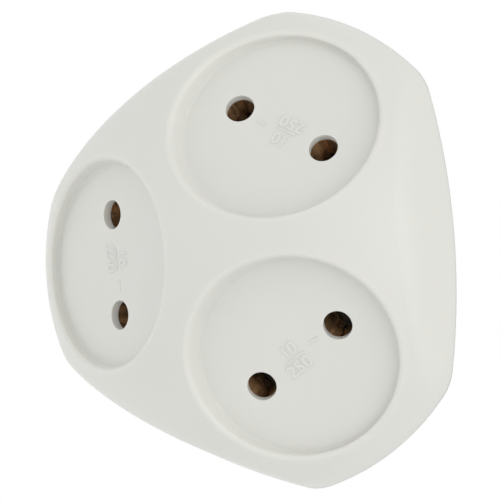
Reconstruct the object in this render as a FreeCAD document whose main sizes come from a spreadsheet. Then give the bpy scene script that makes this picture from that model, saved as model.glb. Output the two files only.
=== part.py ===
import FreeCAD, Part

import math
import os

import Sketcher

# Three way plug-in socket adapter for two-pin plugs: a moulded dome cover with three sunk
# socket faces, a moulded base with the plug, and two sets of brass contacts between them.
# Everything is built lying on its back: the wall side of the plug is z = 0 and the dome
# points to +Z. The last step turns each piece upright, so that the plug pins point to +Y,
# the dome to -Y, and the single socket stands above the pair.
# Lengths are in millimetres and angles in degrees.

SIZES = {
    # plug
    "pin_diameter": 4.8,
    "pin_reach": 19.0,
    "pin_pitch": 19.0,
    "pin_root": 5.4,
    "pin_collar": 7.2,
    "pin_collar_height": 2.0,
    "pin_spigot": 3.0,
    "pin_head": 4.6,
    "pin_head_height": 0.8,
    "plug_diameter": 36.0,
    "plug_length": 15.0,
    "plug_draft": 2.0,
    "plug_floor": 3.0,
    # outline of the body at the seam between cover and base
    "lobe_margin": 3.44,
    "side_cut": 6.8,
    "side_radius": 130.0,
    "corner_radius": 11.0,
    # base
    "base_depth": 6.4,
    "base_draft": 33.0,
    "base_edge": 2.5,
    "base_wall": 2.2,
    "lip_height": 1.5,
    "lip_wall": 1.0,
    "lip_gap": 0.1,
    "sleeve_gap": 0.25,
    "sleeve_wall": 1.2,
    "sleeve_height": 11.0,
    # cover
    "cover_wall": 2.2,
    "cover_draft": 9.2,
    "cover_edge": 7.0,
    "wall_height": 8.25,
    "dome_radius": 54.9,
    "face_bridge": 7.76,
    "face_wall": 1.6,
    "rim_diameter": 39.4,
    "rim_round": 0.8,
    "recess_depth": 3.4,
    "recess_draft": 8.0,
    "recess_round": 0.5,
    "hole_diameter": 5.5,
    "hole_pitch": 19.0,
    "hole_shift": 1.2,
    "chamber_height": 3.0,
    "chamber_wall": 1.1,
    "chamber_gap": 0.4,
    # screws between the base and the cover
    "screw_inset": 10.9,
    "screw_shank": 2.6,
    "screw_length": 14.0,
    "screw_head": 5.2,
    "screw_head_height": 1.9,
    "screw_slot": 0.9,
    "screw_gap": 0.15,
    "screw_post": 7.6,
    "screw_seat": 2.4,
    "pilot_spare": 2.0,
    # contacts
    "bus_clearance": 2.6,
    "bus_thickness": 1.0,
    "bus_width": 5.0,
    "bus_hub": 10.0,
    "spacer_height": 3.0,
    "spacer_diameter": 25.0,
    "spacer_gap": 0.2,
    "post_diameter": 7.6,
    "spigot_diameter": 4.4,
    "cap_diameter": 9.0,
    "cap_height": 1.8,
    "clip_thickness": 0.6,
    "clip_top": 1.8,
    "clip_length": 9.6,
    "clip_reach": 3.0,
    "clip_slit": 0.3,
    "clip_back": 3.4,
    "clip_pinch": 4.4,
    "clip_mouth": 6.0,
    "clip_foot": 5.2,
    "pinch_depth": 3.6,
    "web_height": 6.6,
    "flap_height": 6.0,
    "rivet_shank": 1.8,
    "rivet_head": 3.0,
    "rivet_head_height": 0.6,
}

# Sizes that follow from the driving ones. The three recesses stand as close together on the
# dome as the bridge between their rims allows, and the body's outline follows their rims.
FORMULAS = {
    "half_angle": "asin(rim_diameter / 2 / dome_radius) / 1deg + face_bridge / dome_radius * 90 / pi",
    "face_tilt": "asin(sin(half_angle) / sin(60)) / 1deg",
    "rim_height": "sqrt(dome_radius ^ 2 - (rim_diameter / 2) ^ 2)",
    "rim_reach": "rim_height * sin(face_tilt) + rim_diameter / 2 * cos(face_tilt)",
    "dome_drop": "rim_height * cos(face_tilt) - rim_diameter / 2 * sin(face_tilt) - wall_height",
    "lobe_radius": "rim_reach + lobe_margin",
    "side_reach": "lobe_radius - side_cut",
    "screw_radius": "side_reach - screw_inset",
}

SOCKETS = {name: 90.0 + 120.0 * n for n, name in enumerate(("top", "lower_left", "lower_right"))}
FLANKS = [azimuth - 60.0 for azimuth in SOCKETS.values()]
SIDES = {"left": -1.0, "right": 1.0}
ORIGIN = FreeCAD.Vector(0, 0, 0)
X_AXIS = FreeCAD.Vector(1, 0, 0)
Y_AXIS = FreeCAD.Vector(0, 1, 0)
Z_AXIS = FreeCAD.Vector(0, 0, 1)
UPRIGHT = FreeCAD.Placement(ORIGIN, FreeCAD.Rotation(X_AXIS, 90))

doc = FreeCAD.newDocument("SocketAdapter")


# Sheet of driving sizes

def make_sheet():
    """Write each driving size and each formula into its own cell, under its own name."""
    sheet = doc.addObject("Spreadsheet::Sheet", "Sizes")
    cells = {alias: str(number) for alias, number in SIZES.items()}
    cells.update({alias: "=" + formula for alias, formula in FORMULAS.items()})
    for row, (alias, content) in enumerate(cells.items(), start=1):
        sheet.set("A%d" % row, alias.replace("_", " "))
        sheet.setAlias("B%d" % row, alias)
        sheet.set("B%d" % row, content)
    doc.recompute()
    return sheet


SHEET = make_sheet()


def size(alias):
    return float(getattr(SHEET, alias))


# Levels and places that follow from the sheet, written as expressions for the features

COVER_RISE = "(Sizes.dome_radius - Sizes.dome_drop + 1)"
LOW_BUS = "(Sizes.plug_length + Sizes.base_wall + Sizes.bus_clearance)"
HIGH_BUS = "(%s + Sizes.bus_thickness + Sizes.spacer_height)" % LOW_BUS


def seam_level():
    return size("plug_length") + size("base_depth")


def dome_centre():
    return seam_level() - size("dome_drop")


def floor_distance():
    """From the dome's centre to a recess floor."""
    return size("rim_height") - size("recess_depth")


def low_bus_level():
    return size("plug_length") + size("base_wall") + size("bus_clearance")


def high_bus_level():
    return low_bus_level() + size("bus_thickness") + size("spacer_height")


def at(x=0.0, y=0.0, z=0.0):
    return FreeCAD.Placement(FreeCAD.Vector(x, y, z), FreeCAD.Rotation())


def turned(axis, angle):
    return FreeCAD.Placement(ORIGIN, FreeCAD.Rotation(axis, angle))


def socket_frame(azimuth):
    """Frame of a socket: origin at the dome's centre, Z out through the recess floor's
    centre, Y down the slope towards the lobe, X along the line of the two holes."""
    tilt = turned(X_AXIS, -size("face_tilt"))
    return turned(Z_AXIS, azimuth - 90.0) * at(z=dome_centre()) * tilt


def hole_frame(azimuth, side):
    """Frame of one pin hole: as its socket's frame, origin at the hole's mouth."""
    mouth = at(side * size("hole_pitch") / 2, size("hole_shift"), floor_distance())
    return socket_frame(azimuth) * mouth


# Small makers of document objects

def primitive(kind, name, place=None, **sizes):
    """A Part primitive whose sizes are expressions on the sheet."""
    item = doc.addObject("Part::" + kind, name)
    for prop, expression in sizes.items():
        item.setExpression(prop, expression)
    if place is not None:
        item.Placement = place
    return item


def box(name, place, length, width, height):
    """A box centred in its own X and Y, standing on its own z = 0."""
    item = primitive("Box", name, None, Length=length, Width=width, Height=height)
    doc.recompute()
    item.Placement = place * at(-float(item.Length) / 2, -float(item.Width) / 2)
    return item


def common(name, shapes):
    item = doc.addObject("Part::MultiCommon", name)
    item.Shapes = shapes
    doc.recompute()
    return item


def fuse(name, shapes):
    item = doc.addObject("Part::MultiFuse", name)
    item.Shapes = shapes
    doc.recompute()
    return item


def cut(name, base, tools):
    item = doc.addObject("Part::Cut", name)
    item.Base = base
    item.Tool = tools[0] if len(tools) == 1 else fuse(name + "Tools", tools)
    doc.recompute()
    return item


def fillet(name, base, picked, radius):
    """Round the picked edges, given as a test on an edge."""
    item = doc.addObject("Part::Fillet", name)
    item.Base = base
    numbers = [n for n, edge in enumerate(base.Shape.Edges, start=1) if picked(edge)]
    item.Edges = [(n, radius, radius) for n in numbers]
    doc.recompute()
    return item


def sketch_on(body, role, name):
    """An empty sketch on one of the body's own origin planes."""
    plane = [p for p in body.Origin.OriginFeatures if p.Role == role][0]
    sketch = body.newObject("Sketcher::SketchObject", name)
    sketch.AttachmentSupport = [(plane, "")]
    sketch.MapMode = "FlatFace"
    return sketch


def outline(sketch, corners):
    """A closed run of lines whose corners are pairs of expressions on the sheet."""
    count = len(corners)
    first = sketch.GeometryCount
    guess = [FreeCAD.Vector(math.cos(2 * math.pi * n / count), math.sin(2 * math.pi * n / count), 0)
             for n in range(count)]
    for n in range(count):
        sketch.addGeometry(Part.LineSegment(guess[n], guess[(n + 1) % count]), False)
    for n, (across, along) in enumerate(corners):
        line = first + n
        sketch.addConstraint(Sketcher.Constraint("Coincident", line, 2, first + (n + 1) % count, 1))
        for kind, expression, start in (("DistanceX", across, guess[n].x), ("DistanceY", along, guess[n].y)):
            number = sketch.addConstraint(Sketcher.Constraint(kind, -1, 1, line, 1, start))
            sketch.setExpression("Constraints[%d]" % number, expression)
    doc.recompute()


def revolved(name, corners):
    """A body turned about its own Z from a profile of (radius, height) corners."""
    body = doc.addObject("PartDesign::Body", name)
    sketch = sketch_on(body, "XZ_Plane", name + "Profile")
    outline(sketch, corners)
    turn = body.newObject("PartDesign::Revolution", name + "Turned")
    turn.Profile = sketch
    turn.ReferenceAxis = (sketch, ["V_Axis"])
    turn.Angle = 360.0
    doc.recompute()
    return body


def finish(item, label, place=UPRIGHT):
    """Name a finished sub-part and stand it upright."""
    item.Label = label
    item.Placement = place
    return item


# Plan outline shared by the cover, the base and their hollows

def is_corner(edge):
    """True on the six edges that run up the corners of an outline block."""
    low = edge.BoundBox.ZMin
    high = edge.BoundBox.ZMax
    return high - low > 0.8 * edge.Length and edge.BoundBox.DiagonalLength > 0


def outline_block(name, level, rise, inset, slope):
    """A block of the body's plan outline, made smaller all round by inset at its foot.

    A cone about the middle makes the three lobe ends, and three wide cones make the three
    flanks. rise and inset are expressions. slope is the expression of the draft angle, by
    which the walls lean in on the way up, or out where it is negative."""
    lean = "%s * tan(%s)" % (rise, slope)
    foot = "Sizes.%s - " + inset
    lobes = primitive("Cone", name + "Lobes", at(z=level), Height=rise,
                      Radius1=foot % "lobe_radius", Radius2=foot % "lobe_radius" + " - " + lean)
    blocks = [lobes]
    away = size("side_radius") - size("side_reach")
    for n, azimuth in enumerate(FLANKS):
        place = turned(Z_AXIS, azimuth + 180) * at(x=away, z=level)
        blocks.append(primitive("Cone", "%sFlank%d" % (name, n), place, Height=rise,
                                Radius1=foot % "side_radius",
                                Radius2=foot % "side_radius" + " - " + lean))
    return common(name, blocks)


def rounded_block(name, level, rise, inset, slope, low_radius, high_radius):
    """An outline block with its six corners rounded, by one radius at the foot and another
    at the head."""
    block = outline_block(name + "Sharp", level, rise, inset, slope)
    item = doc.addObject("Part::Fillet", name)
    item.Base = block
    picked = []
    for n, edge in enumerate(block.Shape.Edges, start=1):
        if is_corner(edge):
            rising = edge.valueAt(edge.FirstParameter).z < edge.valueAt(edge.LastParameter).z
            picked.append((n, low_radius, high_radius) if rising else (n, high_radius, low_radius))
    item.Edges = picked
    doc.recompute()
    return item


def dome(name, radius):
    """A ball about the dome's centre, turned so that its own seam and poles lie below."""
    place = at(z=dome_centre()) * turned(Y_AXIS, 90)
    return primitive("Sphere", name, place, Radius=radius)


# Front cover

def cover_form():
    """The cover's outer form: drafted walls under a dome, with a rounded front edge."""
    radius = size("corner_radius")
    walls = rounded_block("CoverWalls", seam_level(), COVER_RISE, "0", "Sizes.cover_draft", radius, radius)
    form = common("CoverSharp", [walls, dome("CoverDome", "Sizes.dome_radius")])
    centre = FreeCAD.Vector(0, 0, dome_centre())

    def on_dome(edge):
        ends = [edge.valueAt(edge.FirstParameter), edge.valueAt(edge.LastParameter)]
        return all(abs((p - centre).Length - size("dome_radius")) < 0.001 for p in ends)

    return fillet("CoverForm", form, on_dome, size("cover_edge"))


def recess(name, azimuth):
    """Cutter of one socket's recess, with its draft and the rounding round its floor."""
    taper = "tan(Sizes.recess_draft)"
    foot = "Sizes.rim_diameter / 2 - Sizes.recess_depth * " + taper
    height = "(Sizes.dome_radius - Sizes.rim_height + 2 * Sizes.recess_depth)"
    place = socket_frame(azimuth) * at(z=floor_distance())
    cone = primitive("Cone", name + "Cone", place, Height=height,
                     Radius1=foot, Radius2="%s + %s * %s" % (foot, height, taper))
    doc.recompute()
    width = 2 * math.pi * float(cone.Radius1)

    def at_floor(edge):
        return abs(edge.Length - width) < 0.001

    return fillet(name, cone, at_floor, size("recess_round"))


def chamber(name, azimuth, side):
    """The four walls round a contact's mouth, behind a pin hole."""
    reach = "Sizes.clip_reach + Sizes.clip_back + 2 * (Sizes.clip_thickness + Sizes.chamber_gap)"
    width = "Sizes.clip_mouth + 2 * Sizes.clip_thickness + 2 * Sizes.chamber_gap"
    middle = (size("clip_reach") - size("clip_back")) / 2
    under = -size("face_wall") - size("chamber_height")
    place = hole_frame(azimuth, side) * at(0, middle, under)
    grown = "%s + 2 * Sizes.chamber_wall"
    outer = box(name + "Outer", place, grown % width, grown % reach, "Sizes.chamber_height + 1")
    inner = box(name + "Inner", place, width, reach, "Sizes.chamber_height + 1")
    return cut(name, outer, [inner])


def screw_frame(azimuth):
    return turned(Z_AXIS, azimuth) * at(x=size("screw_radius"))


def screw_tip_level():
    return size("plug_length") + size("screw_seat") + size("screw_length")


def cover_core():
    """The hollow of the cover, with its chambers and screw posts left standing."""
    radius = size("corner_radius") - size("cover_wall")
    walls = rounded_block("CoreWalls", seam_level(), COVER_RISE, "Sizes.cover_wall",
                          "Sizes.cover_draft", radius, radius)
    hollow = common("CoreDomed", [walls, dome("CoreDome", "Sizes.dome_radius - Sizes.cover_wall")])
    kept = []
    for name, azimuth in SOCKETS.items():
        place = socket_frame(azimuth) * at(z=floor_distance() - size("face_wall"))
        kept.append(primitive("Cylinder", "FaceWall_" + name, place, Height=COVER_RISE,
                              Radius="Sizes.rim_diameter / 2 + Sizes.cover_wall"))
        for side_name, side in SIDES.items():
            kept.append(chamber("Chamber_%s_%s" % (name, side_name), azimuth, side))
    for n, azimuth in enumerate(FLANKS):
        place = screw_frame(azimuth) * at(z=seam_level())
        kept.append(primitive("Cylinder", "CoverPost%d" % n, place,
                              Radius="Sizes.screw_post / 2", Height=COVER_RISE))
    return cut("CoverCore", hollow, kept)


def front_cover():
    form = cover_form()
    sunk = cut("CoverSunk", form, [recess("Recess_" + name, azimuth) for name, azimuth in SOCKETS.items()])
    centre = FreeCAD.Vector(0, 0, dome_centre())
    rim = size("rim_diameter") / 2

    def on_rim(edge):
        point = edge.valueAt((edge.FirstParameter + edge.LastParameter) / 2)
        from_dome = abs((point - centre).Length - size("dome_radius"))
        return from_dome < 0.001 and abs(edge.Length - 2 * math.pi * rim) < 1.0

    rimmed = fillet("CoverRims", sunk, on_rim, size("rim_round"))
    tools = [cover_core()]
    for name, azimuth in SOCKETS.items():
        for side_name, side in SIDES.items():
            place = hole_frame(azimuth, side) * at(z=-size("face_wall") - 1)
            tools.append(primitive("Cylinder", "Hole_%s_%s" % (name, side_name), place,
                                   Radius="Sizes.hole_diameter / 2", Height="Sizes.face_wall + 2"))
    for n, azimuth in enumerate(FLANKS):
        depth = screw_tip_level() + size("pilot_spare") - seam_level()
        pilot = primitive("Cylinder", "Pilot%d" % n, screw_frame(azimuth) * at(z=seam_level()),
                          Radius="Sizes.screw_shank / 2")
        pilot.Height = depth
        tools.append(pilot)
    return finish(cut("FrontCover", rimmed, tools), "front_cover")


# Rear base with the plug

def rear_base():
    depth = "Sizes.base_depth"
    slope = "-Sizes.base_draft"
    lean = size("base_depth") * math.tan(math.radians(size("base_draft")))
    inset = "Sizes.base_depth * tan(Sizes.base_draft)"
    tray = rounded_block("BaseTray", size("plug_length"), depth, "(%s)" % inset, slope,
                         size("corner_radius") - lean, size("corner_radius"))

    def at_back(edge):
        return edge.BoundBox.ZMax < size("plug_length") + 0.001

    rounded = fillet("BaseRounded", tray, at_back, size("base_edge"))
    plug = primitive("Cone", "Plug", None, Height="Sizes.plug_length + 1", Radius1="Sizes.plug_diameter / 2",
                     Radius2="Sizes.plug_diameter / 2 + (Sizes.plug_length + 1) * tan(Sizes.plug_draft)")
    form = fuse("BaseForm", [rounded, plug])
    inner = "(Sizes.cover_wall + Sizes.lip_gap + Sizes.lip_wall)"
    hollow_depth = "(Sizes.base_depth - Sizes.base_wall)"
    hollow_lean = (size("base_depth") - size("base_wall")) * math.tan(math.radians(size("base_draft")))
    rim_radius = size("corner_radius") - size("cover_wall") - size("lip_gap") - size("lip_wall")
    hollow = rounded_block("BaseHollow", size("plug_length") + size("base_wall"), hollow_depth,
                           "(%s + %s * tan(Sizes.base_draft))" % (inner, hollow_depth),
                           slope, rim_radius - hollow_lean, rim_radius)
    well = primitive("Cylinder", "PlugWell", at(z=size("plug_floor")),
                     Radius="Sizes.plug_diameter / 2 - Sizes.base_wall", Height="Sizes.plug_length")
    space = fuse("BaseSpace", [hollow, well])
    kept = [primitive("Cylinder", "Post", None, Radius="Sizes.post_diameter / 2", Height=LOW_BUS)]
    drilled = []
    for side_name, side in SIDES.items():
        place = at(x=side * size("pin_pitch") / 2)
        bore = "Sizes.pin_collar / 2 + Sizes.sleeve_gap"
        outer = primitive("Cylinder", "SleeveOuter_" + side_name, place,
                          Radius=bore + " + Sizes.sleeve_wall", Height="Sizes.plug_floor + Sizes.sleeve_height")
        inner = primitive("Cylinder", "SleeveInner_" + side_name, place * at(z=size("plug_floor")),
                          Radius=bore, Height="Sizes.sleeve_height")
        kept.append(cut("Sleeve_" + side_name, outer, [inner]))
        drilled.append(primitive("Cylinder", "PinHole_" + side_name, place * at(z=-1),
                                 Radius="Sizes.pin_root / 2", Height="Sizes.plug_floor + 1.5"))
    for n, azimuth in enumerate(FLANKS):
        frame = screw_frame(azimuth)
        kept.append(primitive("Cylinder", "BasePost%d" % n, frame * at(z=size("plug_length")),
                              Radius="Sizes.screw_post / 2", Height="Sizes.base_depth + 2"))
        head = frame * at(z=size("plug_length") - 1)
        drilled.append(primitive("Cylinder", "HeadWell%d" % n, head,
                                 Radius="Sizes.screw_head / 2 + Sizes.screw_gap", Height="Sizes.screw_seat + 1"))
        drilled.append(primitive("Cylinder", "ScrewHole%d" % n, head,
                                 Radius="Sizes.screw_shank / 2 + Sizes.screw_gap", Height="Sizes.base_depth + 2"))
    core = cut("BaseCore", space, kept)
    shell = cut("BaseShell", form, [core] + drilled)
    spigot = primitive("Cylinder", "Spigot", at(z=low_bus_level() - 1), Radius="Sizes.spigot_diameter / 2",
                       Height="%s - %s + Sizes.bus_thickness + Sizes.cap_height + 1" % (HIGH_BUS, LOW_BUS))
    return finish(fuse("RearBase", [shell, spigot, base_lip()]), "rear_base")


def base_lip():
    """The thin lip on the base's rim, which stands just inside the cover's skirt."""
    inset = "(Sizes.cover_wall + Sizes.lip_gap)"
    radius = size("corner_radius") - size("cover_wall") - size("lip_gap")
    below = 1.0
    level = seam_level()
    outer = rounded_block("LipOuter", level, "Sizes.lip_height", inset, "Sizes.cover_draft", radius, radius)
    inner_radius = radius - size("lip_wall")
    inner = rounded_block("LipInner", level - below, "(Sizes.lip_height + 2)",
                          "(Sizes.cover_wall + Sizes.lip_gap + Sizes.lip_wall)", "Sizes.cover_draft",
                          inner_radius, inner_radius)
    return cut("Lip", outer, [inner])


# Brass pieces

def plug_pin(name, side, bus_level):
    """A turned pin: rounded tip, thicker root pressed into the plug's floor, collar behind the
    floor, and a head peened on the bus bar."""
    radius = "Sizes.pin_diameter / 2"
    root = "Sizes.pin_root / 2"
    collar = "Sizes.pin_collar / 2"
    floor = "Sizes.plug_floor"
    over = "%s + Sizes.bus_thickness" % bus_level
    tip = "-Sizes.pin_reach"
    corners = [
        ("0", tip),
        ("%s * 0.5" % radius, tip + " + %s * 0.134" % radius),
        ("%s * 0.866" % radius, tip + " + %s * 0.5" % radius),
        (radius, tip + " + " + radius),
        (radius, "0"),
        (root, "0"),
        (root, floor),
        (collar, floor),
        (collar, floor + " + Sizes.pin_collar_height"),
        (radius, floor + " + Sizes.pin_collar_height"),
        (radius, bus_level),
        ("Sizes.pin_spigot / 2", bus_level),
        ("Sizes.pin_spigot / 2", over),
        ("Sizes.pin_head / 2", over),
        ("Sizes.pin_head / 2", over + " + Sizes.pin_head_height"),
        ("0", over + " + Sizes.pin_head_height"),
    ]
    body = revolved("PlugPin_" + name, corners)
    return finish(body, "plug_pin_" + name, UPRIGHT * at(x=side * size("pin_pitch") / 2))


def bus_foot(level):
    """Where a contact's tab meets a bus bar at this level: distance below the recess floor,
    measured along the hole, and the foot's place in the plan of its socket."""
    tilt = math.radians(size("face_tilt"))
    back = size("hole_shift") - size("clip_back") - size("clip_thickness") - size("bus_thickness") / 2
    along = (level - dome_centre() + back * math.sin(tilt)) / math.cos(tilt)
    out = along * math.sin(tilt) + back * math.cos(tilt)
    return floor_distance() - along, out


def bus_bar(name, label, side, level, level_expression):
    """A stamped bar: a hub on the middle post and three arms, each ending in a bent-up tab."""
    width = "Sizes.bus_width"
    thick = "Sizes.bus_thickness"
    hub = primitive("Cylinder", name + "Hub", at(z=level), Radius="Sizes.bus_hub / 2", Height=thick)
    block = 2 * size("lobe_radius")
    depth, out = bus_foot(level)
    across = side * size("hole_pitch") / 2
    reach = math.hypot(out, across)
    parts = [hub]
    for n, azimuth in enumerate(SOCKETS.values()):
        socket_turn = turned(Z_AXIS, azimuth - 90)
        angle = math.degrees(math.atan2(out, across))
        arm = primitive("Box", "%sArm%d" % (name, n), None, Width=width, Height=thick)
        arm.Length = reach + size("bus_width")
        arm.Placement = socket_turn * turned(Z_AXIS, angle) * at(0, -size("bus_width") / 2, level)
        tab_top = size("clip_top") + size("clip_length") - size("web_height")
        frame = hole_frame(azimuth, side)
        back = -size("clip_back") - size("clip_thickness")
        trim = box("%sTrim%d" % (name, n), frame * at(0, back + block / 2, -block),
                   str(block), str(block), str(block))
        parts.append(cut("%sStrip%d" % (name, n), arm, [trim]))
        tab = box("%sTab%d" % (name, n), frame * at(0, back - size("bus_thickness") / 2, -depth),
                  width, thick, str(depth - tab_top))
        parts.append(tab)
    star = fuse(name + "Star", parts)
    holes = [primitive("Cylinder", name + "HubHole", at(z=level - 1),
                       Radius="Sizes.spigot_diameter / 2", Height=thick + " + 2")]
    holes.append(primitive("Cylinder", name + "PinHole", at(side_of_pin(side) * size("pin_pitch") / 2, 0, level - 1),
                           Radius="Sizes.pin_spigot / 2", Height=thick + " + 2"))
    for n, azimuth in enumerate(SOCKETS.values()):
        place = hole_frame(azimuth, side) * rivet_place()
        holes.append(primitive("Cylinder", "%sRivetHole%d" % (name, n), place,
                               Radius="Sizes.rivet_shank / 2",
                               Height="Sizes.clip_thickness + 2 * Sizes.bus_thickness"))
    return finish(cut(name, star, holes), label)


def side_of_pin(side):
    """A bus bar's plug pin lies under the arm to the far lower socket."""
    return -side


def rivet_place():
    """Frame of a contact's rivet: Z along the rivet, origin on the web's inner face."""
    low = -size("clip_top") - size("clip_length") + size("web_height") / 2
    return at(0, -size("clip_back"), low) * turned(X_AXIS, 90)


def contact_clip(name, azimuth, side):
    """A bent spring contact: two bowed leaves, joined by a web on the inner side. A flap bent
    from the left leaf closes the outer side, and a slit keeps the right leaf free of it."""
    body = doc.addObject("PartDesign::Body", "Clip_" + name)
    top = "-Sizes.clip_top"
    pinch = "-Sizes.clip_top - Sizes.pinch_depth"
    foot = "-Sizes.clip_top - Sizes.clip_length"
    thick = " + Sizes.clip_thickness"
    for hand in (-1, 1):
        sketch = sketch_on(body, "XZ_Plane", "Leaf_%s_%d" % (name, hand + 1))
        across = "%d * (" % hand + "%s / 2%s)"
        corners = [
            (across % ("Sizes.clip_mouth", ""), top),
            (across % ("Sizes.clip_pinch", ""), pinch),
            (across % ("Sizes.clip_foot", ""), foot),
            (across % ("Sizes.clip_foot", thick), foot),
            (across % ("Sizes.clip_pinch", thick), pinch),
            (across % ("Sizes.clip_mouth", thick), top),
        ]
        outline(sketch, corners)
        leaf = body.newObject("PartDesign::Pad", "LeafPad_%s_%d" % (name, hand + 1))
        leaf.Profile = sketch
        leaf.SideType = "Two sides"
        leaf.setExpression("Length", "Sizes.clip_back")
        leaf.setExpression("Length2", "Sizes.clip_reach" if hand < 0 else "Sizes.clip_reach - Sizes.clip_slit")
        doc.recompute()
        if hand < 0:
            half = "(Sizes.clip_foot / 2 + Sizes.clip_thickness)"
            add_plate(body, "Web_" + name, half, foot, foot + " + Sizes.web_height", "Sizes.clip_back")
            half = "(Sizes.clip_mouth / 2 + Sizes.clip_thickness)"
            add_plate(body, "Flap_" + name, half, top + " - Sizes.flap_height", top,
                      "-Sizes.clip_reach - Sizes.clip_thickness")
    rivet_hole = primitive("Cylinder", "ClipHole_" + name, rivet_place() * at(z=-1),
                           Radius="Sizes.rivet_shank / 2", Height="Sizes.clip_thickness + 2")
    drilled = cut("DrilledClip_" + name, body, [rivet_hole])
    return finish(drilled, "contact_clip_" + name, UPRIGHT * hole_frame(azimuth, side))


def add_plate(body, name, half, low, high, back):
    """A flat plate across a contact: half its width, its foot and head, and how far behind the
    contact's middle plane its outer side or inner side begins."""
    sketch = sketch_on(body, "XZ_Plane", name)
    sketch.setExpression("AttachmentOffset.Base.z", back)
    outline(sketch, [("-" + half, low), (half, low), (half, high), ("-" + half, high)])
    pad = body.newObject("PartDesign::Pad", name + "Pad")
    pad.Profile = sketch
    pad.setExpression("Length", "Sizes.clip_thickness")
    doc.recompute()


def clip_rivets():
    """The six rivets that hold the contacts to the bars' tabs."""
    rivets = []
    grip = "Sizes.clip_thickness + Sizes.bus_thickness"
    for name, azimuth in SOCKETS.items():
        for side_name, side in SIDES.items():
            place = hole_frame(azimuth, side) * rivet_place()
            tag = "Rivet_%s_%s" % (name, side_name)
            shank = primitive("Cylinder", tag + "Shank", place, Radius="Sizes.rivet_shank / 2", Height=grip)
            head = primitive("Cylinder", tag + "Head", place * at(z=-size("rivet_head_height")),
                             Radius="Sizes.rivet_head / 2", Height="Sizes.rivet_head_height")
            far = primitive("Cylinder", tag + "Tail",
                            place * at(z=size("clip_thickness") + size("bus_thickness")),
                            Radius="Sizes.rivet_head / 2", Height="Sizes.rivet_head_height")
            rivets.append(fuse(tag, [shank, head, far]))
    group = doc.addObject("Part::Compound", "ClipRivets")
    group.Links = rivets
    doc.recompute()
    return finish(group, "clip_rivets")


# Insulating pieces and screws

def bus_spacer():
    level = low_bus_level() + size("bus_thickness")
    disc = primitive("Cylinder", "SpacerDisc", at(z=level), Radius="Sizes.spacer_diameter / 2",
                     Height="Sizes.spacer_height")
    holes = [primitive("Cylinder", "SpacerHole", at(z=level - 1), Radius="Sizes.spigot_diameter / 2",
                       Height="Sizes.spacer_height + 2")]
    for side_name, side in SIDES.items():
        place = at(side * size("pin_pitch") / 2, 0, level - 1)
        holes.append(primitive("Cylinder", "SpacerPinHole_" + side_name, place,
                               Radius="Sizes.pin_diameter / 2 + Sizes.spacer_gap",
                               Height="Sizes.spacer_height + 2"))
    return finish(cut("BusSpacer", disc, holes), "bus_spacer")


def retaining_cap():
    level = high_bus_level() + size("bus_thickness")
    ring = primitive("Cylinder", "CapRing", at(z=level), Radius="Sizes.cap_diameter / 2",
                     Height="Sizes.cap_height")
    hole = primitive("Cylinder", "CapHole", at(z=level - 1), Radius="Sizes.spigot_diameter / 2",
                     Height="Sizes.cap_height + 2")
    return finish(cut("RetainingCap", ring, [hole]), "retaining_cap")


def cover_screws():
    """The three slotted screws that hold the cover on the base, driven from behind."""
    screws = []
    for n, azimuth in enumerate(FLANKS):
        seat = size("plug_length") + size("screw_seat")
        frame = screw_frame(azimuth)
        shank = primitive("Cylinder", "ScrewShank%d" % n, frame * at(z=seat),
                          Radius="Sizes.screw_shank / 2", Height="Sizes.screw_length")
        head = primitive("Cylinder", "ScrewHead%d" % n, frame * at(z=seat - size("screw_head_height")),
                         Radius="Sizes.screw_head / 2", Height="Sizes.screw_head_height")
        whole = fuse("ScrewWhole%d" % n, [shank, head])
        slot = box("ScrewSlot%d" % n, frame * at(z=seat - size("screw_head_height") - 1),
                   "Sizes.screw_head * 2", "Sizes.screw_slot", "1 + Sizes.screw_head_height / 2")
        screws.append(cut("Screw%d" % n, whole, [slot]))
    group = doc.addObject("Part::Compound", "CoverScrews")
    group.Links = screws
    doc.recompute()
    return finish(group, "cover_screws")


def build():
    """Make every sub-part and return them in the order in which they are put together."""
    parts = [rear_base()]
    parts.append(plug_pin("left", -1, HIGH_BUS))
    parts.append(plug_pin("right", 1, LOW_BUS))
    parts.append(bus_bar("LowBus", "bus_bar_lower", SIDES["left"], low_bus_level(), LOW_BUS))
    parts.append(bus_spacer())
    parts.append(bus_bar("HighBus", "bus_bar_upper", SIDES["right"], high_bus_level(), HIGH_BUS))
    parts.append(retaining_cap())
    for name, azimuth in SOCKETS.items():
        for side_name, side in SIDES.items():
            parts.append(contact_clip("%s_%s" % (name, side_name), azimuth, side))
    parts.append(clip_rivets())
    parts.append(front_cover())
    parts.append(cover_screws())
    doc.recompute()
    return parts


def check(parts):
    """Stop if any object failed or any sub-part has no sound shape."""
    for item in doc.Objects:
        if "Invalid" in item.State or "Error" in item.State:
            raise RuntimeError("failed: %s %s" % (item.Name, item.State))
    for item in parts:
        if item.Shape.isNull() or not item.Shape.isValid():
            raise RuntimeError("no sound shape: " + item.Label)


def export(parts):
    os.makedirs("parts", exist_ok=True)
    for item in parts:
        item.Shape.exportStep(os.path.join("parts", item.Label + ".step"))
        print("%-28s %d solid(s) %9.1f mm3" % (item.Label, len(item.Shape.Solids), item.Shape.Volume))


PARTS = build()
check(PARTS)
export(PARTS)
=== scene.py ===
"""Looks of a three way plug-in socket adapter: its moulded cover with the recesses as the mould
leaves them, finishes for the shell, contacts, pins and screws, the raised rating marks in the
recesses, and a plain stage to show it on."""

import math

import bmesh
import bpy
from mathutils import Euler, Matrix, Vector


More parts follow.
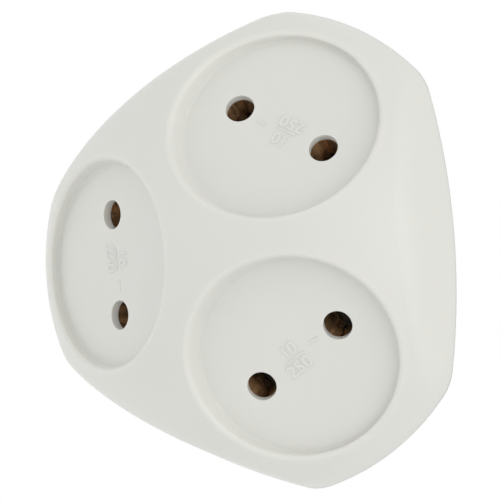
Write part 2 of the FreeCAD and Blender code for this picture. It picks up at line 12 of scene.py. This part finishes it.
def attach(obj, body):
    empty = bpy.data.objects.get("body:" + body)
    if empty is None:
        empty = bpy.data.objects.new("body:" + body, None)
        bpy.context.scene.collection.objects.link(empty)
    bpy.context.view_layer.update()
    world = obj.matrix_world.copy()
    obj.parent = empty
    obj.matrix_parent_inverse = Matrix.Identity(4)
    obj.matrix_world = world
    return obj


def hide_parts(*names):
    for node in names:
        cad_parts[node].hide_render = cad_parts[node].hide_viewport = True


bl_info = {
    "name": "Socket adapter looks",
    "version": (1, 0, 0),
    "blender": (4, 5, 0),
    "location": "View3D > Sidebar > Adapter",
    "description": "Finishes, rating marks and stage for a moulded three way socket adapter",
    "category": "Object",
}

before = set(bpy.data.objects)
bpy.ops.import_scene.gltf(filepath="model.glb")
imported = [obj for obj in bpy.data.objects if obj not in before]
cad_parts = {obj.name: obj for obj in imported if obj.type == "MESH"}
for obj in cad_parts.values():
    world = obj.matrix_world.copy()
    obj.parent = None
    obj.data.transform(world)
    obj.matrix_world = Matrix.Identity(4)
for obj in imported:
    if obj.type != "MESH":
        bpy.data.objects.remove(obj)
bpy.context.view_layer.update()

MM = 0.001
SAME_POINT = 0.0005 * MM  # the CAD mesh's loose corners that are merged lie nearer than this
CORNER_NORMAL = "corner_normal"

# The camera looks at the dome from 27 degrees off its axis, with the single recess to the left.
CAMERA_PLACE = Vector((-104.139, -927.017, -447.491)) * MM
CAMERA_TURN = (-165.2408, 62.7155, 99.8803)

# Large soft lamps: how wide they are and how far away, in metres, and where they stand.
LAMP_SIZE = 0.8
LAMP_DISTANCE = 0.9
SIDE_LIGHT = Vector((0.0, -0.423, -0.906))
FILL_LIGHT = Vector((0.0, -0.43, 0.903))
FLOOR_HALF = 8.0

# The three sockets, in degrees about the adapter's axis, as their contacts are named.
SOCKET_TURNS = {"top": 0.0, "lower_left": 120.0, "lower_right": 240.0}


def linear(code):
    """An sRGB hex colour as linear red, green and blue."""
    parts = [int(code[n:n + 2], 16) / 255 for n in (0, 2, 4)]
    return tuple(p / 12.92 if p <= 0.04045 else ((p + 0.055) / 1.055) ** 2.4 for p in parts)


def add(tree, kind, links=None, **settings):
    """Add a node with its settings and with its inputs, each a value or another node's output."""
    node = tree.nodes.new(kind)
    for name, value in settings.items():
        setattr(node, name, value)
    for name, value in (links or {}).items():
        if isinstance(value, bpy.types.NodeSocket):
            tree.links.new(value, node.inputs[name])
        else:
            node.inputs[name].default_value = value
    return node


def new_material(name):
    """An empty material and its node tree."""
    material = bpy.data.materials.new(name)
    material.use_nodes = True
    material.node_tree.nodes.clear()
    return material, material.node_tree


def close_material(tree, **links):
    """Join a Principled shader with these inputs to the material's output."""
    named = {key.replace("_", " "): value for key, value in links.items()}
    shader = add(tree, "ShaderNodeBsdfPrincipled", named)
    add(tree, "ShaderNodeOutputMaterial", {"Surface": shader.outputs["BSDF"]})
    return shader


def per_mm(size):
    """Scale of a pattern whose features are this many millimetres across."""
    return 1 / (size * MM)


def wave_pitch(size):
    """Scale of a wave texture whose bands are this many millimetres apart."""
    return 2 * math.pi / (20 * size * MM)


# Settings that a user may change

class ShellSettings(bpy.types.PropertyGroup):
    """Finish of the moulded cover and base."""

    colour: bpy.props.FloatVectorProperty(
        name="Shell colour", description="Colour of the moulded plastic", subtype="COLOR",
        size=3, min=0.0, max=1.0, default=linear("E1E1DC"))
    roughness: bpy.props.FloatProperty(
        name="Roughness", description="How soft the plastic's shine is", default=0.42, min=0.1, max=1.0)
    scatter: bpy.props.FloatProperty(
        name="Scatter", description="How far light spreads under the plastic's skin", default=1.5 * MM,
        min=0.0, unit="LENGTH", precision=4)
    translucency: bpy.props.FloatProperty(
        name="Translucency", description="Share of the light that goes under the plastic's skin",
        default=0.4, min=0.0, max=1.0, subtype="FACTOR")
    grain: bpy.props.FloatProperty(
        name="Mould grain", description="Size of the mould's fine texture, in millimetres",
        default=0.35, min=0.05, max=5.0)


class RecessSettings(bpy.types.PropertyGroup):
    """Slopes of the three sunk faces and of the walls round them."""

    lean: bpy.props.FloatProperty(
        name="Lean", description="How far a sunk face is drawn towards its lobe, along the mould's pull",
        default=1.3 * MM, min=0.0, max=2.0 * MM, unit="LENGTH", precision=4)
    taper: bpy.props.FloatProperty(
        name="Taper", description="How much smaller the wall gets towards its foot, on the radius",
        default=0.5 * MM, min=0.0, max=1.5 * MM, unit="LENGTH", precision=4)
    tip: bpy.props.FloatProperty(
        name="Tip", description="How far a sunk face is raised on its lobe's side, about its two holes",
        default=math.radians(3.0), min=0.0, max=math.radians(4.9), subtype="ANGLE")


class MarkSettings(bpy.types.PropertyGroup):
    """Raised rating marks in the middle of each recess."""

    height: bpy.props.FloatProperty(
        name="Figure height", description="Height of the raised figures", default=2.4 * MM,
        min=0.5 * MM, max=8 * MM, unit="LENGTH", precision=4)
    relief: bpy.props.FloatProperty(
        name="Relief", description="How far the figures stand out of the floor", default=0.1 * MM,
        min=0.02 * MM, max=1 * MM, unit="LENGTH", precision=5)


class MetalSettings(bpy.types.PropertyGroup):
    """Colours of the brass and steel pieces."""

    contact_colour: bpy.props.FloatVectorProperty(
        name="Contact brass", description="Colour of the browned brass of the contacts and bars",
        subtype="COLOR", size=3, min=0.0, max=1.0, default=linear("F4C896"))
    pin_colour: bpy.props.FloatVectorProperty(
        name="Pin brass", description="Colour of the turned brass of the plug pins",
        subtype="COLOR", size=3, min=0.0, max=1.0, default=linear("D9BC7A"))
    screw_colour: bpy.props.FloatVectorProperty(
        name="Screw steel", description="Colour of the zinc plated screws",
        subtype="COLOR", size=3, min=0.0, max=1.0, default=linear("C2C4C6"))


class StageSettings(bpy.types.PropertyGroup):
    """Camera, light and floor."""

    lens: bpy.props.FloatProperty(
        name="Lens", description="Focal length of the camera in millimetres", default=389.27, min=10.0)
    key_power: bpy.props.FloatProperty(
        name="Side light", description="Power of the large soft light at the side", default=2.15,
        min=0.0, unit="POWER")
    fill_power: bpy.props.FloatProperty(
        name="Fill light", description="Power of the large soft light on the other side", default=0.35,
        min=0.0, unit="POWER")
    ambient: bpy.props.FloatProperty(
        name="Ambient", description="Strength of the even light from all round", default=0.87, min=0.0)
    floor_drop: bpy.props.FloatProperty(
        name="Floor drop", description="How far the floor lies under the adapter", default=2.0,
        min=0.1, unit="LENGTH")


# Finishes

def shade(colour, share):
    """A colour made darker or paler by this share, with full alpha."""
    return tuple(min(1.0, part * share) for part in colour) + (1.0,)


def own_place(tree):
    """The piece's own coordinates, in metres."""
    return add(tree, "ShaderNodeTexCoord").outputs["Object"]


def moulded_plastic(name, settings, translucency):
    """ABS moulding in a warm white: satin, even and a little translucent, with a very fine mould
    grain, faint flow in the colour and slight waves from the way the walls shrank. The grain of
    the real mould is finer, and is drawn as coarse as it needs to show."""
    material, tree = new_material(name)
    place = own_place(tree)
    flow = add(tree, "ShaderNodeTexNoise", {
        "Vector": place, "Scale": per_mm(22), "Detail": 2.0, "Roughness": 0.5})
    colour = add(tree, "ShaderNodeMix", {
        "Factor": flow.outputs["Fac"], "A": shade(settings.colour, 0.975), "B": shade(settings.colour, 1.015)},
        data_type="RGBA")
    handled = add(tree, "ShaderNodeTexNoise", {"Vector": place, "Scale": per_mm(5), "Detail": 4.0})
    gloss = add(tree, "ShaderNodeMapRange", {
        "Value": handled.outputs["Fac"], "From Min": 0.3, "From Max": 0.7,
        "To Min": settings.roughness - 0.04, "To Max": settings.roughness + 0.06})
    grain = add(tree, "ShaderNodeTexNoise", {"Vector": place, "Scale": per_mm(settings.grain), "Detail": 2.0})
    waves = add(tree, "ShaderNodeTexNoise", {"Vector": place, "Scale": per_mm(14), "Detail": 1.0})
    fine = add(tree, "ShaderNodeBump", {
        "Height": grain.outputs["Fac"], "Strength": 0.12, "Distance": 0.02 * MM})
    bump = add(tree, "ShaderNodeBump", {
        "Height": waves.outputs["Fac"], "Strength": 0.25, "Distance": 0.12 * MM,
        "Normal": fine.outputs["Normal"]})
    close_material(tree, Base_Color=colour.outputs["Result"], Roughness=gloss.outputs["Result"],
                   Normal=bump.outputs["Normal"], IOR=1.52, Subsurface_Weight=translucency,
                   Subsurface_Radius=(1.0, 0.95, 0.85), Subsurface_Scale=settings.scatter)
    return material


def rolled_brass(name, settings, strip):
    """Brass strip, rolled and stamped: browned by tarnish, half dull, with darker patches and streaks
    along the strip from the rolls. The strip's length is Z of the place that is given. The streaks
    are drawn wider than real ones, so that they show."""
    material, tree = new_material(name)
    place = own_place(tree)
    along = add(tree, "ShaderNodeMapping", {
        "Vector": place, "Rotation": strip.to_euler(), "Scale": (1.0, 1.0, 8.0)}, vector_type="TEXTURE")
    tarnish = add(tree, "ShaderNodeTexNoise", {
        "Vector": place, "Scale": per_mm(2.2), "Detail": 5.0, "Roughness": 0.6})
    streaks = add(tree, "ShaderNodeTexNoise", {
        "Vector": along.outputs[0], "Scale": per_mm(1.3), "Detail": 2.0, "Roughness": 0.4})
    worn = add(tree, "ShaderNodeMath", {
        0: streaks.outputs["Fac"], 1: 2.0, 2: tarnish.outputs["Fac"]}, operation="MULTIPLY_ADD")
    mask = add(tree, "ShaderNodeMapRange", {"Value": worn.outputs[0], "From Min": 1.34, "From Max": 1.68})
    colour = add(tree, "ShaderNodeMix", {
        "Factor": mask.outputs["Result"], "A": shade(settings.contact_colour, 1.0),
        "B": shade(settings.contact_colour, 0.38)}, data_type="RGBA")
    rough = add(tree, "ShaderNodeMapRange", {"Value": mask.outputs["Result"], "To Min": 0.22, "To Max": 0.42})
    bump = add(tree, "ShaderNodeBump", {
        "Height": streaks.outputs["Fac"], "Strength": 0.3, "Distance": 0.08 * MM})
    close_material(tree, Base_Color=colour.outputs["Result"], Metallic=0.6,
                   Roughness=rough.outputs["Result"], Normal=bump.outputs["Normal"])
    return material


def turned_brass(settings):
    """Brass rod, turned on a lathe: bright yellow with fine rings about the pin. The rings are
    drawn wider apart than a lathe's feed, so that they show."""
    material, tree = new_material("turned_brass_rod")
    place = own_place(tree)
    rings = add(tree, "ShaderNodeTexWave", {
        "Vector": place, "Scale": wave_pitch(0.25), "Distortion": 0.6, "Detail": 1.0, "Detail Scale": 4.0},
        wave_type="BANDS", bands_direction="Y", wave_profile="SAW")
    wear = add(tree, "ShaderNodeTexNoise", {"Vector": place, "Scale": per_mm(3), "Detail": 4.0})
    colour = add(tree, "ShaderNodeMix", {
        "Factor": wear.outputs["Fac"], "A": shade(settings.pin_colour, 1.0),
        "B": shade(settings.pin_colour, 0.82)}, data_type="RGBA")
    rough = add(tree, "ShaderNodeMapRange", {"Value": wear.outputs["Fac"], "To Min": 0.16, "To Max": 0.34})
    bump = add(tree, "ShaderNodeBump", {
        "Height": rings.outputs["Fac"], "Strength": 0.12, "Distance": 0.02 * MM})
    close_material(tree, Base_Color=colour.outputs["Result"], Metallic=1.0,
                   Roughness=rough.outputs["Result"], Normal=bump.outputs["Normal"])
    return material


def zinc_plate(settings):
    """Steel with a thin bright zinc plating: cool grey with a faint blotchy bloom."""
    material, tree = new_material("zinc_plated_steel")
    bloom = add(tree, "ShaderNodeTexVoronoi", {"Vector": own_place(tree), "Scale": per_mm(0.8)},
                feature="SMOOTH_F1")
    colour = add(tree, "ShaderNodeMix", {
        "Factor": bloom.outputs["Distance"], "A": shade(settings.screw_colour, 1.0),
        "B": shade(settings.screw_colour, 0.8)}, data_type="RGBA")
    rough = add(tree, "ShaderNodeMapRange", {
        "Value": bloom.outputs["Distance"], "To Min": 0.25, "To Max": 0.45})
    close_material(tree, Base_Color=colour.outputs["Result"], Metallic=1.0, Roughness=rough.outputs["Result"])
    return material


def pressed_phenolic():
    """Phenolic moulding in grey-brown: matte, with a fine mottle of its filler."""
    material, tree = new_material("moulded_phenolic")
    mottle = add(tree, "ShaderNodeTexNoise", {"Vector": own_place(tree), "Scale": per_mm(0.8), "Detail": 4.0})
    colour = add(tree, "ShaderNodeMix", {
        "Factor": mottle.outputs["Fac"], "A": shade(linear("6E665C"), 1.0), "B": shade(linear("8A8278"), 1.0)},
        data_type="RGBA")
    bump = add(tree, "ShaderNodeBump", {
        "Height": mottle.outputs["Fac"], "Strength": 0.2, "Distance": 0.03 * MM})
    close_material(tree, Base_Color=colour.outputs["Result"], Roughness=0.62, Normal=bump.outputs["Normal"])
    return material


def finish_nodes(names, material):
    """Put this finish in the material slots of carried-over pieces."""
    for name in names:
        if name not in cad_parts:
            raise RuntimeError("the frame has no piece called " + name)
        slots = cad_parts[name].material_slots
        if not slots:
            raise RuntimeError(name + " has no material slot")
        for slot in slots:
            slot.material = material


# Recesses. In a recess's own place X runs along its two holes, Y towards its lobe and Z out of
# its floor, whose middle is the origin.

FACE_TILT = math.radians(29.3)
DOME_CENTRE = Vector((0.0, 5.4 * MM, 0.0))
FLOOR_DISTANCE = 47.845 * MM  # from the dome's centre to a floor
HOLE_LINE = 1.2 * MM          # from a floor's middle to the line of its holes
FLOOR_EDGE = 15.0 * MM        # radius inside which there are only the floor and its holes
WALL_EDGE = 20.4 * MM         # radius that holds the whole wall
WALL_RADIUS = 19.4 * MM       # of the wall halfway up
WALL_TOP = 2.9 * MM           # height where the rim's rounding ends and the wall's slope begins
FACE_BACK = -1.6 * MM         # height of the face's back, over the contacts
FACE_EDGE = 21.8 * MM         # radius of the face's back
NEAR = 0.02 * MM              # heights nearer than this are the same


def recess_place(turn):
    """The place of a recess, turned this many degrees from the single one at the top."""
    lean = Matrix.Rotation(math.pi / 2 - FACE_TILT, 4, "X")
    spin = Matrix.Rotation(-math.radians(turn), 4, "Y")
    return Matrix.Translation(DOME_CENTRE) @ spin @ lean @ Matrix.Translation((0.0, 0.0, FLOOR_DISTANCE))


def pulled(point, settings):
    """Where the mould's pull takes a point of a recess, in the recess's own place, and how it
    stretches the surface there. The rim stays. The wall's foot goes towards the lobe and inwards,
    and the face and its back tip about the line of the two holes."""
    drop = min(WALL_TOP - point.z, WALL_TOP)
    outside = math.hypot(point.x, point.y) > FLOOR_EDGE and point.z > -NEAR
    lean = settings.lean / WALL_TOP * outside
    taper = settings.taper / WALL_TOP / WALL_RADIUS * outside
    slope = math.tan(settings.tip) / WALL_TOP
    small = 1.0 - taper * drop
    from_holes = point.y - HOLE_LINE
    place = Vector((point.x * small, point.y * small + lean * drop, point.z + slope * from_holes * drop))
    stretch = Matrix(((small, 0.0, taper * point.x),
                      (0.0, small, taper * point.y - lean),
                      (0.0, slope * drop, 1.0 - slope * from_holes * outside)))
    return place, stretch


def pull_recess(shape, place, corners, settings):
    """Turn the corner normals of one recess as the mould's pull does. Gives each of its vertices
    with the way that it goes, so that all the recesses are moved at once."""
    back = place.inverted()
    turn = place.to_3x3()
    own = {vert: back @ vert.co for vert in shape.verts}
    front = {vert for vert, point in own.items()
             if -NEAR < point.z < WALL_TOP and math.hypot(point.x, point.y) < WALL_EDGE}
    behind = {vert for vert, point in own.items()
              if abs(point.z - FACE_BACK) < NEAR and math.hypot(point.x, point.y) < FACE_EDGE}
    moving = front | behind
    for facet in {facet for vert in moving for facet in vert.link_faces}:
        heights = [own[vert].z for vert in facet.verts]
        on_back = max(abs(height - FACE_BACK) for height in heights) < NEAR
        if min(heights) > -NEAR or on_back:
            for corner in facet.loops:
                if corner.vert in moving:
                    stretch = pulled(own[corner.vert], settings)[1]
                    normal = stretch.inverted().transposed() @ (corner[corners] @ turn)
                    corner[corners] = (turn @ normal).normalized()
    return {vert: turn @ (pulled(own[vert], settings)[0] - own[vert]) for vert in moving}


# Rating marks, in a recess's own place

STROKE_ROUND = 0.15 * MM  # rounding of a figure's strokes
STROKE_LESS = 0.04 * MM   # taken off each side of a stroke first, because the rounding adds to it
CAP_SHARE = 0.72          # height of a figure as a share of the letter size
RATING_BAR = (4.4 * MM, 0.36 * MM)
BAR_PLACE = (1.0 * MM, 1.0 * MM)
# Each figure with its middle and how much wider than usual it is.
FIGURES = (("10", (1.0 * MM, -0.85 * MM), 1.0),
           ("250", (1.4 * MM, 2.85 * MM), 1.08),
           ("~", (-4.0 * MM, 0.4 * MM), 1.0))


def raised_text(words, height, relief, middle, width):
    """Figures as a bmesh: raised from the floor, with their tops towards the adapter's middle."""
    curve = bpy.data.curves.new("figures", "FONT")
    curve.body = words
    curve.align_x = "CENTER"
    curve.align_y = "CENTER"
    curve.size = height / CAP_SHARE
    curve.bevel_depth = STROKE_ROUND
    curve.bevel_resolution = 3
    curve.offset = -STROKE_LESS
    curve.resolution_u = 6
    figures = bpy.data.objects.new("figures", curve)
    bpy.context.scene.collection.objects.link(figures)
    mesh = bpy.data.meshes.new_from_object(figures.evaluated_get(bpy.context.evaluated_depsgraph_get()))
    bpy.data.objects.remove(figures)
    shape = bmesh.new()
    shape.from_mesh(mesh)
    bpy.data.meshes.remove(mesh)
    bmesh.ops.remove_doubles(shape, verts=shape.verts, dist=1e-7)
    bmesh.ops.scale(shape, vec=(width, 1.0, relief / STROKE_ROUND), verts=shape.verts)
    bmesh.ops.rotate(shape, matrix=Matrix.Rotation(math.pi, 3, "Z"), verts=shape.verts)
    bmesh.ops.translate(shape, vec=(*middle, 0.0), verts=shape.verts)
    return shape


def raised_bar(relief):
    """The line between the two figures, with rounded edges."""
    shape = bmesh.new()
    bmesh.ops.create_cube(shape, size=1.0)
    bmesh.ops.scale(shape, vec=(*RATING_BAR, relief * 2), verts=shape.verts)
    bmesh.ops.bevel(shape, geom=shape.edges[:], offset=relief * 0.4, segments=2, profile=0.5,
                    affect="EDGES", material=-1)
    bmesh.ops.translate(shape, vec=(*BAR_PLACE, 0.0), verts=shape.verts)
    return shape


class ADAPTER_OT_shell(bpy.types.Operator):
    """Shape the recesses of the moulded cover and finish it and the base"""

    bl_idname = "adapter.shell"
    bl_label = "Moulded shell"

    def execute(self, context):
        settings = context.scene.adapter_shell
        finish_nodes(["front_cover", "rear_base"],
                     moulded_plastic("moulded_white_abs", settings, settings.translucency))
        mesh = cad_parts["front_cover"].data.copy()
        mesh.name = "moulded_cover"
        self.pull_recesses(mesh, context.scene.adapter_recess)
        cover = bpy.data.objects.new("moulded_cover", mesh)
        context.scene.collection.objects.link(cover)
        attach(cover, "root")
        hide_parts("front_cover")
        return {"FINISHED"}

    def pull_recesses(self, mesh, settings):
        """Give the recesses of the cover's copy the slopes that the mould leaves, and keep the
        smooth shading of the CAD surface, turned with it."""
        normals = [0.0] * (3 * len(mesh.loops))
        mesh.corner_normals.foreach_get("vector", normals)
        stored = mesh.attributes.new(CORNER_NORMAL, "FLOAT_VECTOR", "CORNER")
        stored.data.foreach_set("vector", normals)
        shape = bmesh.new()
        shape.from_mesh(mesh)
        bmesh.ops.remove_doubles(shape, verts=shape.verts, dist=SAME_POINT)
        corners = shape.loops.layers.float_vector[CORNER_NORMAL]
        ways = [pull_recess(shape, recess_place(turn), corners, settings) for turn in SOCKET_TURNS.values()]
        for way in ways:
            for vert, shift in way.items():
                vert.co += shift
        shape.to_mesh(mesh)
        shape.free()
        stored = mesh.attributes[CORNER_NORMAL]
        mesh.normals_split_custom_set([corner.vector[:] for corner in stored.data])
        mesh.attributes.remove(stored)


class ADAPTER_OT_marks(bpy.types.Operator):
    """Raise the current and voltage figures in each recess"""

    bl_idname = "adapter.marks"
    bl_label = "Rating marks"

    def execute(self, context):
        # No light goes under the skin of these figures: they are a thin mesh of their own.
        plastic = moulded_plastic("moulded_white_figures", context.scene.adapter_shell, 0.0)
        tip = Matrix.Rotation(context.scene.adapter_recess.tip, 4, "X")
        on_holes = Matrix.Translation((0.0, HOLE_LINE, 0.0))
        for socket, turn in SOCKET_TURNS.items():
            name = "rating_marks_" + socket
            whole = self.raise_marks(context.scene.adapter_marks)
            place = recess_place(turn) @ on_holes @ tip @ on_holes.inverted()
            bmesh.ops.transform(whole, matrix=place, verts=whole.verts)
            for face in whole.faces:
                face.smooth = True
            mesh = bpy.data.meshes.new(name)
            whole.to_mesh(mesh)
            whole.free()
            mesh.materials.append(plastic)
            marks = bpy.data.objects.new(name, mesh)
            context.scene.collection.objects.link(marks)
            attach(marks, "root")
        return {"FINISHED"}

    def raise_marks(self, settings):
        """All the marks of one recess in one bmesh, in the recess's own place."""
        pieces = [raised_text(words, settings.height, settings.relief, middle, width)
                  for words, middle, width in FIGURES]
        pieces.append(raised_bar(settings.relief))
        whole = bmesh.new()
        for piece in pieces:
            part = bpy.data.meshes.new("part")
            piece.to_mesh(part)
            piece.free()
            whole.from_mesh(part)
            bpy.data.meshes.remove(part)
        return whole


class ADAPTER_OT_contacts(bpy.types.Operator):
    """Finish the contacts, bars and rivets"""

    bl_idname = "adapter.contacts"
    bl_label = "Contact brass"

    def execute(self, context):
        metal = context.scene.adapter_metal
        for socket, turn in SOCKET_TURNS.items():
            strip = rolled_brass("rolled_brass_" + socket, metal, recess_place(turn))
            finish_nodes([f"contact_clip_{socket}_{side}" for side in ("left", "right")], strip)
        finish_nodes(["bus_bar_lower", "bus_bar_upper", "clip_rivets"],
                     rolled_brass("rolled_brass_bars", metal, Matrix()))
        return {"FINISHED"}


class ADAPTER_OT_pins(bpy.types.Operator):
    """Finish the two plug pins"""

    bl_idname = "adapter.pins"
    bl_label = "Plug pins"

    def execute(self, context):
        finish_nodes(["plug_pin_left", "plug_pin_right"], turned_brass(context.scene.adapter_metal))
        return {"FINISHED"}


class ADAPTER_OT_fasteners(bpy.types.Operator):
    """Finish the screws, the spacer and the cap"""

    bl_idname = "adapter.fasteners"
    bl_label = "Screws and insulators"

    def execute(self, context):
        finish_nodes(["cover_screws"], zinc_plate(context.scene.adapter_metal))
        finish_nodes(["bus_spacer", "retaining_cap"], pressed_phenolic())
        return {"FINISHED"}


class ADAPTER_OT_stage(bpy.types.Operator):
    """Set up the floor, the light and the camera"""

    bl_idname = "adapter.stage"
    bl_label = "Stage"

    def execute(self, context):
        settings = context.scene.adapter_stage
        scene = context.scene
        scene.view_settings.view_transform = "Standard"
        self.make_world(scene, settings)
        self.make_floor(scene, settings)
        self.make_lamp(scene, "side_light", settings.key_power, SIDE_LIGHT)
        self.make_lamp(scene, "fill_light", settings.fill_power, FILL_LIGHT)
        view = bpy.data.cameras.new("camera")
        view.lens = settings.lens
        view.sensor_width = 36.0
        camera = bpy.data.objects.new("camera", view)
        camera.location = CAMERA_PLACE
        camera.rotation_euler = Euler([math.radians(angle) for angle in CAMERA_TURN])
        scene.collection.objects.link(camera)
        scene.camera = camera
        return {"FINISHED"}

    def make_lamp(self, scene, name, power, direction):
        """A large square lamp on this side of the adapter, turned to it."""
        light = bpy.data.lights.new(name, "AREA")
        light.shape = "SQUARE"
        light.size = LAMP_SIZE
        light.energy = power
        lamp = bpy.data.objects.new(name, light)
        lamp.location = direction * LAMP_DISTANCE
        lamp.rotation_euler = (-lamp.location).to_track_quat("-Z", "Y").to_euler()
        scene.collection.objects.link(lamp)

    def make_world(self, scene, settings):
        """Even light, with plain white where the camera or a reflection looks past the part."""
        world = bpy.data.worlds.new("studio")
        world.use_nodes = True
        tree = world.node_tree
        tree.nodes.clear()
        path = add(tree, "ShaderNodeLightPath")
        seen = add(tree, "ShaderNodeMath", {0: path.outputs["Is Camera Ray"], 1: path.outputs["Is Glossy Ray"]},
                   operation="MAXIMUM")
        seen = add(tree, "ShaderNodeMath", {0: seen.outputs[0], 1: path.outputs["Is Transmission Ray"]},
                   operation="MAXIMUM")
        light = add(tree, "ShaderNodeBackground", {"Color": (1, 1, 1, 1), "Strength": settings.ambient})
        white = add(tree, "ShaderNodeBackground", {"Color": (1, 1, 1, 1), "Strength": 1.0})
        both = add(tree, "ShaderNodeMixShader", {
            0: seen.outputs[0], 1: light.outputs[0], 2: white.outputs[0]})
        add(tree, "ShaderNodeOutputWorld", {"Surface": both.outputs[0]})
        scene.world = world

    def make_floor(self, scene, settings):
        """A wide pale floor well under the adapter, which hangs on its plug."""
        mesh = bpy.data.meshes.new("floor")
        shape = bmesh.new()
        bmesh.ops.create_grid(shape, x_segments=1, y_segments=1, size=FLOOR_HALF)
        bmesh.ops.translate(shape, vec=(0.0, 0.0, -settings.floor_drop), verts=shape.verts)
        shape.to_mesh(mesh)
        shape.free()
        floor = bpy.data.objects.new("floor", mesh)
        scene.collection.objects.link(floor)
        material, tree = new_material("pale_floor")
        path = add(tree, "ShaderNodeLightPath")
        matte = add(tree, "ShaderNodeBsdfDiffuse", {"Color": linear("F4F4F2") + (1.0,)})
        white = add(tree, "ShaderNodeEmission", {"Color": (1, 1, 1, 1), "Strength": 1.0})
        # Three quarters of what the camera sees is plain white, and the rest keeps the shadow.
        share = add(tree, "ShaderNodeMath", {0: path.outputs["Is Camera Ray"], 1: 0.75}, operation="MULTIPLY")
        both = add(tree, "ShaderNodeMixShader", {0: share.outputs[0], 1: matte.outputs[0], 2: white.outputs[0]})
        add(tree, "ShaderNodeOutputMaterial", {"Surface": both.outputs[0]})
        mesh.materials.append(material)


class ADAPTER_PT_panel(bpy.types.Panel):
    """Adapter tools"""

    bl_idname = "ADAPTER_PT_panel"
    bl_label = "Socket adapter"
    bl_space_type = "VIEW_3D"
    bl_region_type = "UI"
    bl_category = "Adapter"

    def draw(self, context):
        for group in GROUPS:
            box = self.layout.box()
            settings = getattr(context.scene, group)
            for name in settings.__annotations__:
                box.prop(settings, name)
        for step in STEPS:
            self.layout.operator("adapter." + step)


GROUPS = {"adapter_shell": ShellSettings, "adapter_recess": RecessSettings, "adapter_marks": MarkSettings,
          "adapter_metal": MetalSettings, "adapter_stage": StageSettings}
STEPS = ("shell", "marks", "contacts", "pins", "fasteners", "stage")
CLASSES = (ShellSettings, RecessSettings, MarkSettings, MetalSettings, StageSettings,
           ADAPTER_OT_shell, ADAPTER_OT_marks, ADAPTER_OT_contacts, ADAPTER_OT_pins,
           ADAPTER_OT_fasteners, ADAPTER_OT_stage, ADAPTER_PT_panel)


def register():
    for kind in CLASSES:
        bpy.utils.register_class(kind)
    for name, group in GROUPS.items():
        setattr(bpy.types.Scene, name, bpy.props.PointerProperty(type=group))


def unregister():
    for name in GROUPS:
        delattr(bpy.types.Scene, name)
    for kind in reversed(CLASSES):
        bpy.utils.unregister_class(kind)


def main():
    register()
    for step in STEPS:
        getattr(bpy.ops.adapter, step)()
    bpy.context.view_layer.update()


if __name__ == "__main__":
    main()
